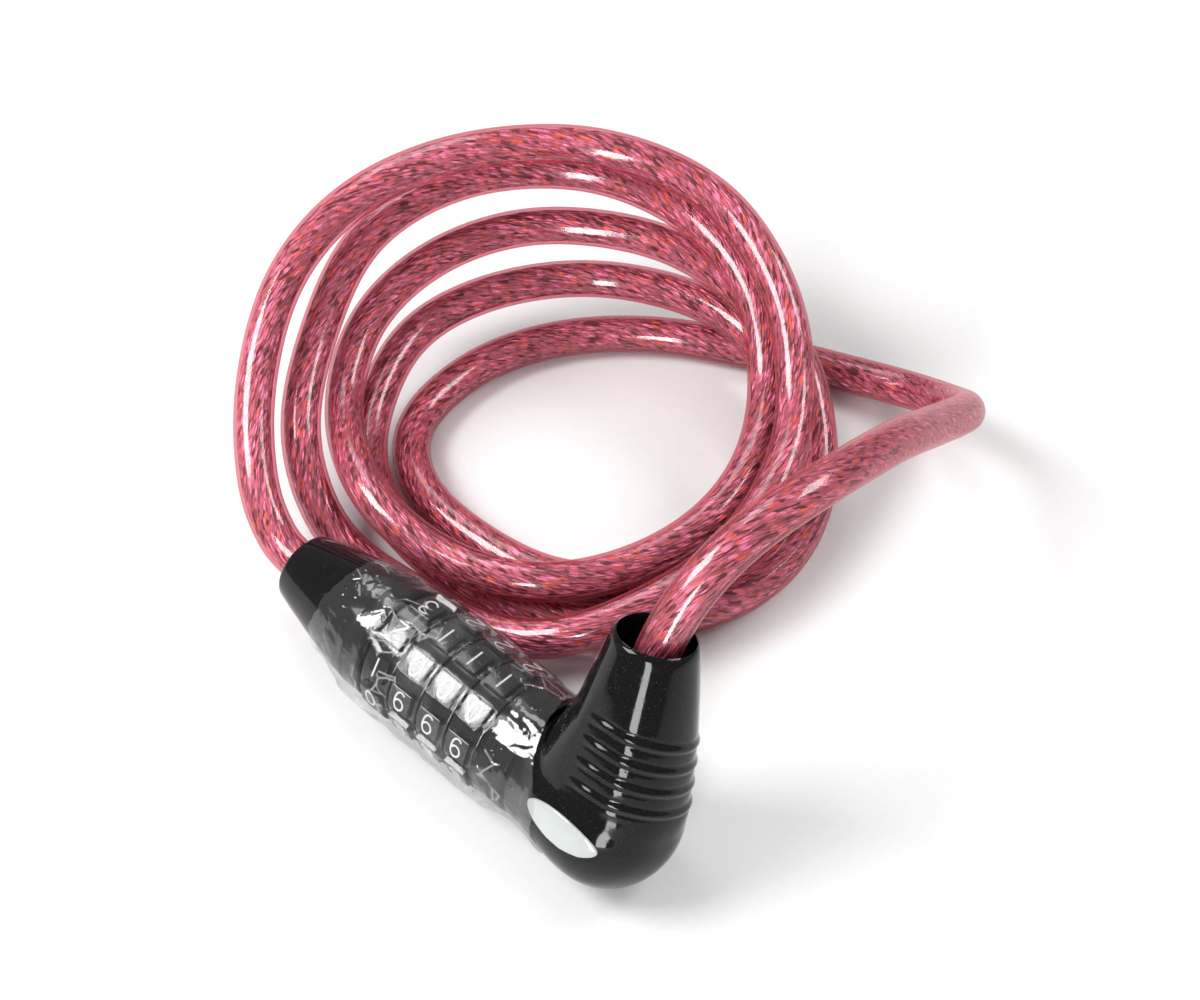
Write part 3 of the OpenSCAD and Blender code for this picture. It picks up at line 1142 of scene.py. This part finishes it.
@dataclass
class ShrinkFilm:
    """Clear film shrunk over the dials, torn at the cap and cut on a slant at the elbow."""

    meshes: Meshes
    thickness: float = 0.1
    around: int = 260
    rows: int = 186
    corner_r: float = 12.66
    collar_r: float = 12.12
    torn_x: float = -28.6
    cut_x: float = 26.3
    lap_angle: float = -63.0
    fold_angle: float = 252.0
    tile_half: float = 12.2

    @staticmethod
    def off(angle: float, middle: float) -> float:
        """How far an angle lies from a middle given in degrees, from half a turn back to half a turn on."""
        return (angle - math.radians(middle) + math.pi) % (2 * math.pi) - math.pi

    def edge_left(self, angle: float) -> float:
        """Where the torn end lies."""
        wave = Vector((math.cos(angle), math.sin(angle), 0.0))
        torn = 0.9 * noise.noise(wave * 2.3) + 0.35 * noise.noise(wave * 9.0)
        return self.torn_x + 1.2 * math.sin(angle + 0.6) + torn

    def edge_right(self, angle: float) -> float:
        """Where the cut end lies."""
        wave = Vector((math.cos(angle), math.sin(angle), 3.0))
        lap = 2.0 * math.exp(-((self.off(angle, self.lap_angle) / 0.35) ** 2))
        slant = 5.6 * math.cos(angle - math.radians(50))
        return self.cut_x - slant + lap + 0.4 * noise.noise(wave * 3.0)

    def many_sided(self, angle: float, turn: float) -> float:
        """The film's distance from the axis where it is stretched over the tiles' corners."""
        step = math.radians(TILE_STEP)
        off = (angle - math.radians(INDEX_ROW + turn) + step / 2) % step - step / 2
        tile = math.radians(self.tile_half)
        if abs(off) <= tile:
            return self.corner_r * math.cos(tile) / math.cos(off)
        groove = step / 2 - tile
        return self.corner_r * math.cos(groove) / math.cos(step / 2 - abs(off))

    def reach(self, x: float, angle: float) -> float:
        """The film's distance from the barrel's axis.

        Args:
            x: the place along the barrel.
            angle: the angle about the barrel.

        Returns:
            The distance, in millimetres.
        """
        first = smooth_step(-8.0, -6.6, x)
        over_dials = (1 - first) * self.many_sided(angle, FIRST_DIAL_TURN)
        over_dials += first * self.many_sided(angle, 0.0)
        seam = abs(((x / DIAL_PITCH) % 1.0) - 0.5) * 2
        over_dials -= 0.1 * (1 - smooth_step(0.0, 0.35, 1 - seam))
        cap = float(np.interp(x, (-32, -28, -24, -19.4), (9.75, 10.65, 11.45, 12.05)))
        nose = float(np.interp(x, (21.8, 27, 31, 35), (self.collar_r, 12.25, 13.15, 13.75)))
        ends = cap if x < 0 else nose
        share = smooth_step(-16.4, -14.6, x) * (1 - smooth_step(14.6, 16.4, x))
        base = share * over_dials + (1 - share) * ends
        spot = Vector((x * 0.16, 2.2 * math.cos(angle), 2.2 * math.sin(angle)))
        folds = max(noise.noise(spot * 1.3), 0.0) * 0.55 * (1 - 0.75 * share)
        fine = 0.1 * abs(noise.noise(spot * 4.0)) + 0.05 * abs(noise.noise(spot * 11.0))
        loose = math.exp(-((self.off(angle, self.fold_angle) / 0.55) ** 2))
        loose *= smooth_step(-26, -18, x) * (1 - smooth_step(16, 25, x))
        loose *= 1.15 + 0.5 * noise.noise(spot * 2.0)
        return base + 0.03 + folds + fine * (1 - 0.6 * share) + max(loose, 0.0)

    def build(self) -> None:
        """Builds and dresses the film."""
        points: list[Vector] = []
        for layer in (0.0, self.thickness):
            for i in range(self.rows + 1):
                for k in range(self.around):
                    angle = 2 * math.pi * k / self.around
                    t = i / self.rows
                    x = self.edge_left(angle) * (1 - t) + self.edge_right(angle) * t
                    points.append(barrel_spot(x, self.reach(x, angle) + layer, angle))
        per = self.around
        layer_size = (self.rows + 1) * per
        faces = []
        for i in range(self.rows):
            for k in range(per):
                a, b = i * per + k, i * per + (k + 1) % per
                faces.append([a, a + per, b + per, b])
                faces.append([layer_size + v for v in (a, b, b + per, a + per)])
        for k in range(per):
            j = (k + 1) % per
            faces.append([k, j, layer_size + j, layer_size + k])
            top = self.rows * per
            faces.append([top + k, layer_size + top + k, layer_size + top + j, top + j])
        film = self.meshes.build("shrink_film_sleeve", points, faces, 70.0)
        dressed(film, ClearFilm().make())
        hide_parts("shrink_film")
        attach(film, LOCK_BODY)
        log.info("film: torn and creased sleeve over the dials")


# ---------------------------------------------------------------- the elbow


@dataclass
class ElbowPlug:
    """The elbow-shaped plug: a rounded end and a tapered arm with grip ribs and a pale cheek inlay."""

    meshes: Meshes
    route: CableRoute = field(default_factory=CableRoute)
    front_x: float = 22.1
    elbow_r: float = 13.6
    rib_heights: tuple[float, ...] = (7.6, 11.8, 16.0, 20.2)
    rib_half: float = 0.62
    rib_lift: float = 0.36
    rib_sag: float = 2.6
    voxel: float = 0.36
    web_balls: tuple[tuple[float, float, float], ...] = (
        (-6.5, 3.0, 11.5), (-1.0, 16.0, 11.2), (0.3, 4.0, 12.6),
    )

    def arm_frame(self) -> tuple[Vector, Vector, Vector]:
        """The arm's own outward, cheek and lengthwise directions."""
        axis = self.route.arm_axis()
        lean, roll = math.radians(self.route.arm_lean), math.radians(self.route.arm_roll)
        out = Vector((math.cos(lean), math.sin(lean) * math.sin(roll), math.sin(lean) * math.cos(roll)))
        return out, Vector((0, -math.cos(roll), math.sin(roll))), axis

    def arm_spot(self, height: float, radius: float, angle: float) -> Vector:
        """A point about the arm's axis; the angle runs from the outward side towards the near cheek."""
        out, cheek, axis = self.arm_frame()
        round_it = out * math.cos(angle) + cheek * math.sin(angle)
        return self.route.arm_foot() + axis * height + round_it * radius

    def arm_radius(self, height: float) -> float:
        """The arm's mean radius."""
        return float(np.interp(height, (0, 6, 12, 20, 28, 33, 37.5), (12.7, 12.5, 12.0, 11.0, 9.5, 8.5, 7.6)))

    def outside(self) -> bpy.types.Object:
        """The elbow's outside as one blended form."""
        nose = [
            (self.route.elbow_x + 12.7 * math.sin(t), self.elbow_r * math.cos(t))
            for t in (math.radians(9 * k) for k in range(1, 11))
        ]
        barrel = [(self.front_x, 0), (self.front_x, 11.7), (27, 12.0), (31, 12.9), (35, 13.5),
                  (self.route.elbow_x, self.elbow_r)] + nose[:-1] + [(51.0, 0)]
        form = self.meshes.turned("elbow_form", barrel, False, 128)
        arm = [(0.0, 0.0)] + [(h, self.arm_radius(h)) for h in np.linspace(0, self.route.arm_len - 0.6, 24)]
        arm += [(self.route.arm_len, 7.1), (self.route.arm_len, 0.0)]
        upper = self.meshes.turned("elbow_arm", arm, False, 128, self.arm_spot)
        form.data = self.joined(form, upper)
        form.data = self.joined(form, self.web())
        remesh = form.modifiers.new("blend", "REMESH")
        remesh.mode = "VOXEL"
        remesh.voxel_size = self.voxel * MM
        self.smoothed(form, 46)
        return form

    def web(self) -> bpy.types.Object:
        """The rounded web that fills the corner between the barrel end and the arm.

        Returns:
            The web.
        """
        out, _, axis = self.arm_frame()
        work = bmesh.new()
        for reach, height, radius in self.web_balls:
            spot = self.route.arm_foot() + out * reach + axis * height
            bmesh.ops.create_icosphere(work, subdivisions=4, radius=radius, matrix=Matrix.Translation(spot))
        hull = bmesh.ops.convex_hull(work, input=work.verts[:])
        inner = [g for g in hull["geom_interior"] if isinstance(g, bmesh.types.BMVert)]
        bmesh.ops.delete(work, geom=inner, context="VERTS")
        work.verts.ensure_lookup_table()
        work.verts.index_update()
        points = [Vector((max(v.co.x, self.front_x + 0.4), v.co.y, v.co.z)) for v in work.verts]
        faces = [[v.index for v in f.verts] for f in work.faces]
        work.free()
        return self.meshes.build("elbow_web", points, faces)

    def joined(self, first: bpy.types.Object, second: bpy.types.Object) -> bpy.types.Mesh:
        """Puts two objects' meshes in one, and removes the second object."""
        work = bmesh.new()
        work.from_mesh(first.data)
        work.from_mesh(second.data)
        work.to_mesh(first.data)
        work.free()
        bpy.data.objects.remove(second)
        return first.data

    def applied(self, item: bpy.types.Object) -> None:
        """Turns an object's modifiers into plain mesh."""
        graph = bpy.context.evaluated_depsgraph_get()
        graph.update()
        mesh = bpy.data.meshes.new_from_object(item.evaluated_get(graph))
        item.modifiers.clear()
        item.data = mesh

    def smoothed(self, item: bpy.types.Object, passes: int) -> None:
        """Smooths an object a number of times, and applies whatever it still carries."""
        soft = item.modifiers.new("soften", "SMOOTH")
        soft.factor = 0.5
        soft.iterations = passes
        self.applied(item)

    def flattened(self, item: bpy.types.Object) -> None:
        """Flattens the cheeks a little and smooths what that leaves.

        Args:
            item: the blended elbow.
        """
        _, cheek, axis = self.arm_frame()
        base = in_metres(self.route.arm_foot())
        for v in item.data.vertices:
            rel = (v.co - base) / MM
            height, side = rel.dot(axis), rel.dot(cheek)
            flat = self.arm_radius(max(height, 0.0)) * (0.9 + 0.1 * smooth_step(20, 33, height))
            flat += (1 - smooth_step(0, 12, height)) * 1.6
            if abs(side) > flat:
                press = (abs(side) - flat) * 0.6 * smooth_step(0, 8, height)
                v.co -= cheek * math.copysign(press, side) * MM
        self.smoothed(item, 16)

    def ribbed(self, item: bpy.types.Object) -> None:
        """Raises the grip ribs.

        Args:
            item: the blended elbow.
        """
        out, cheek, axis = self.arm_frame()
        base = in_metres(self.route.arm_foot())
        for v in item.data.vertices:
            rel = (v.co - base) / MM
            height, side, outward = rel.dot(axis), rel.dot(cheek), rel.dot(out)
            if outward < -30 or not 1.0 <= height <= self.route.arm_len - 1.5:
                continue
            if math.hypot(side, outward) < 4.0:
                continue
            turn = math.atan2(side, outward)
            mask = 1 - smooth_step(math.radians(84), math.radians(112), abs(turn))
            if mask <= 0:
                continue
            lift = 0.0
            sag = self.rib_sag * math.sin(turn)
            for centre in self.rib_heights:
                off = (height - centre - sag) / self.rib_half
                if abs(off) < 2.2:
                    valley = math.exp(-((abs(off) - 1.6) ** 2) * 2.5)
                    lift += self.rib_lift * math.exp(-off * off) - 0.12 * valley
            v.co += (rel - axis * height).normalized() * lift * mask * MM

    def hollowed(self, item: bpy.types.Object) -> None:
        """Cuts the mouth, the ferrule's pocket and the pin's bore.

        Args:
            item: the elbow.
        """
        mouth = [
            (5.0, 0.0), (5.0, 4.6), (18.0, 4.6), (18.1, 4.65), (24.0, 5.5), (30.0, 6.25), (35.5, 6.62),
            (36.7, 6.75), (37.3, 7.0), (38.5, 8.0), (38.5, 0.0),
        ]
        cutter = self.meshes.turned("mouth_cutter", mouth, False, 96, self.arm_spot)
        bore = self.meshes.turned("pin_cutter", [(20, 0), (20, 3.92), (41.4, 3.92), (41.4, 0)], False, 48)
        for tool in (cutter, bore):
            cut = item.modifiers.new("cut", "BOOLEAN")
            cut.operation = "DIFFERENCE"
            cut.solver = "EXACT"
            cut.object = tool
        self.applied(item)
        for tool in (cutter, bore):
            bpy.data.objects.remove(tool)

    def inlay(self) -> bpy.types.Object:
        """The pale oval on the near cheek, a thin dome with rounded edges.

        Returns:
            The inlay.
        """
        middle, turn = 36.5, math.radians(-63)
        long_half, wide_half = 8.0, 2.85
        outline = ((22, 11.8), (27, 12), (31, 12.9), (35, 13.5), (38.3, 13.6), (42, 13.05), (45, 11.6))
        points: list[Vector] = []
        rings = [(0.0, 0.32), (0.35, 0.32), (0.7, 0.31), (0.9, 0.27), (0.97, 0.2), (1.0, 0.08), (1.0, -0.8)]
        around = 96
        faces: list[list[int]] = []
        for reach, lift in rings:
            for k in range(around if reach > 0 else 1):
                a = 2 * math.pi * k / around
                x = middle + long_half * reach * math.copysign(abs(math.cos(a)) ** 0.92, math.cos(a))
                arc = wide_half * reach * math.sin(a)
                shell = float(np.interp(x, *zip(*outline)))
                points.append(barrel_spot(x, shell + lift, turn + arc / 13.0))
        for k in range(around):
            faces.append([0, 1 + k, 1 + (k + 1) % around])
        for ring in range(len(rings) - 2):
            start = 1 + ring * around
            for k in range(around):
                j = (k + 1) % around
                faces.append([start + k, start + around + k, start + around + j, start + j])
        last = 1 + (len(rings) - 2) * around
        faces.append([last + k for k in range(around)])
        return self.meshes.build("cheek_inlay_oval", points, faces, 50.0)

    def build(self) -> None:
        """Builds and dresses the elbow and its inlay."""
        elbow = self.outside()
        self.flattened(elbow)
        self.ribbed(elbow)
        self.hollowed(elbow)
        elbow.name = "elbow_shell"
        elbow.data.polygons.foreach_set("use_smooth", [True] * len(elbow.data.polygons))
        elbow.data.set_sharp_from_angle(angle=math.radians(48))
        moulding = MouldedGloss("elbow_moulding", (0.0025, 0.0025, 0.003), 0.05, 0.000008)
        dressed(elbow, moulding.make())
        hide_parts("elbow")
        inlay = dressed(self.inlay(), PaleInlay().make())
        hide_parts("cheek_inlay")
        for item in (elbow, inlay):
            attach(item, PLUG)
        log.info("elbow: %d faces", len(elbow.data.polygons))


@dataclass
class InnerMetal:
    """The pieces inside the lock, whose own shapes stay."""

    steel: TurnedMetal = TurnedMetal("core_steel", (0.52, 0.53, 0.55), (0.33, 0.31, 0.29))
    ferrule: TurnedMetal = TurnedMetal("ferrule_steel", (0.60, 0.60, 0.61), (0.36, 0.34, 0.32), 0.35)
    spring: TurnedMetal = TurnedMetal("spring_steel", (0.66, 0.66, 0.67), (0.42, 0.40, 0.38), 0.22)
    pin: TurnedMetal = TurnedMetal("pin_chrome", (0.78, 0.78, 0.80), (0.55, 0.55, 0.56), 0.1)
    brass: TurnedMetal = TurnedMetal("ring_brass", (0.72, 0.50, 0.20), (0.40, 0.26, 0.11), 0.25)
    rope: TurnedMetal = TurnedMetal("rope_end_steel", (0.62, 0.62, 0.63), (0.30, 0.27, 0.25), 0.3)

    def dress(self) -> None:
        """Gives each inner piece its metal."""
        finishes = {
            "core_tube": self.steel, "fixed_ferrule": self.ferrule, "plug_ferrule": self.ferrule,
            "fixed_rope_end": self.rope, "plug_rope_end": self.rope, "detent_spring": self.spring,
            "retaining_ring": self.spring, "locking_pin": self.pin, "cross_rivet": self.pin,
        }
        finishes.update({f"code_ring_{k}": self.brass for k in range(1, 5)})
        made: dict[str, bpy.types.Material] = {}
        for node, finish in finishes.items():
            if finish.name not in made:
                made[finish.name] = finish.make()
            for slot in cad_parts[node].material_slots:
                slot.material = made[finish.name]
            log.info("inside: %s", node)


# ---------------------------------------------------------------- studio


@dataclass
class Studio:
    """The camera, the softboxes and the paper."""

    azimuth: float = 43.5
    elevation: float = 48.8
    place: tuple[float, float, float] = (182.8, -155.5, 339.0)
    lens: float = 66.0
    aim: tuple[float, float, float] = (0.0, 0.03, 0.02)
    room_light: float = 0.38

    def camera(self) -> None:
        """Makes the camera."""
        a, e = math.radians(self.azimuth), math.radians(self.elevation)
        back = Vector((math.sin(a) * math.cos(e), -math.cos(a) * math.cos(e), math.sin(e)))
        data = bpy.data.cameras.new("view")
        data.lens = self.lens
        data.sensor_width = 36.0
        data.clip_start, data.clip_end = 0.01, 20.0
        item = placed("view", data)
        item.location = in_metres(self.place)
        item.rotation_euler = (-back).to_track_quat("-Z", "Y").to_euler()
        bpy.context.scene.camera = item

    def softbox(self, name: str, way: Point, far: float, size: tuple[float, float], power: float) -> None:
        """Makes one softbox that faces the lock.

        Args:
            name: its name.
            way: the direction it stands in.
            far: its distance, in metres.
            size: its width and height, in metres.
            power: its power, in watts.
        """
        data = bpy.data.lights.new(name, "AREA")
        data.shape = "RECTANGLE"
        data.size, data.size_y = size
        data.energy = power
        item = placed(name, data)
        item.location = Vector(self.aim) + Vector(way).normalized() * far
        item.rotation_euler = (-Vector(way)).to_track_quat("-Z", "Y").to_euler()

    def build(self) -> None:
        """Makes the paper, the lights and the surroundings."""
        work = bmesh.new()
        bmesh.ops.create_grid(work, x_segments=1, y_segments=1, size=6.0)
        mesh = bpy.data.meshes.new("paper")
        work.to_mesh(mesh)
        work.free()
        paper = placed("paper", mesh)
        paper.location = (0, 0, -0.0002)
        mesh.materials.append(StudioPaper().make())
        self.softbox("key_softbox", (-0.45, -0.47, 0.76), 0.75, (0.34, 0.34), 5.6)
        self.softbox("side_strip", (0.54, -0.83, 0.32), 0.75, (0.17, 0.5), 5.2)
        self.softbox("top_softbox", (-0.52, 0.26, 0.76), 0.9, (0.3, 0.5), 1.8)
        self.softbox("back_softbox", (0.35, 0.7, 0.8), 0.9, (0.4, 0.25), 3.0)
        world = bpy.data.worlds.new("pale_room")
        world.use_nodes = True
        background = world.node_tree.nodes["Background"]
        background.inputs["Color"].default_value = (1.0, 1.0, 1.0, 1.0)
        background.inputs["Strength"].default_value = self.room_light
        bpy.context.scene.world = world
        bpy.context.scene.view_settings.view_transform = "Standard"
        log.info("studio: paper, four softboxes and a pale room")


def main() -> None:
    """Builds the whole lock and its studio."""
    meshes = Meshes()
    studio = Studio()
    studio.camera()
    SleevedCable(meshes).build()
    BarrelEnds(meshes).build()
    NumberDials(meshes).build()
    ShrinkFilm(meshes).build()
    ElbowPlug(meshes).build()
    InnerMetal().dress()
    studio.build()


if __name__ == "__main__":
    main()
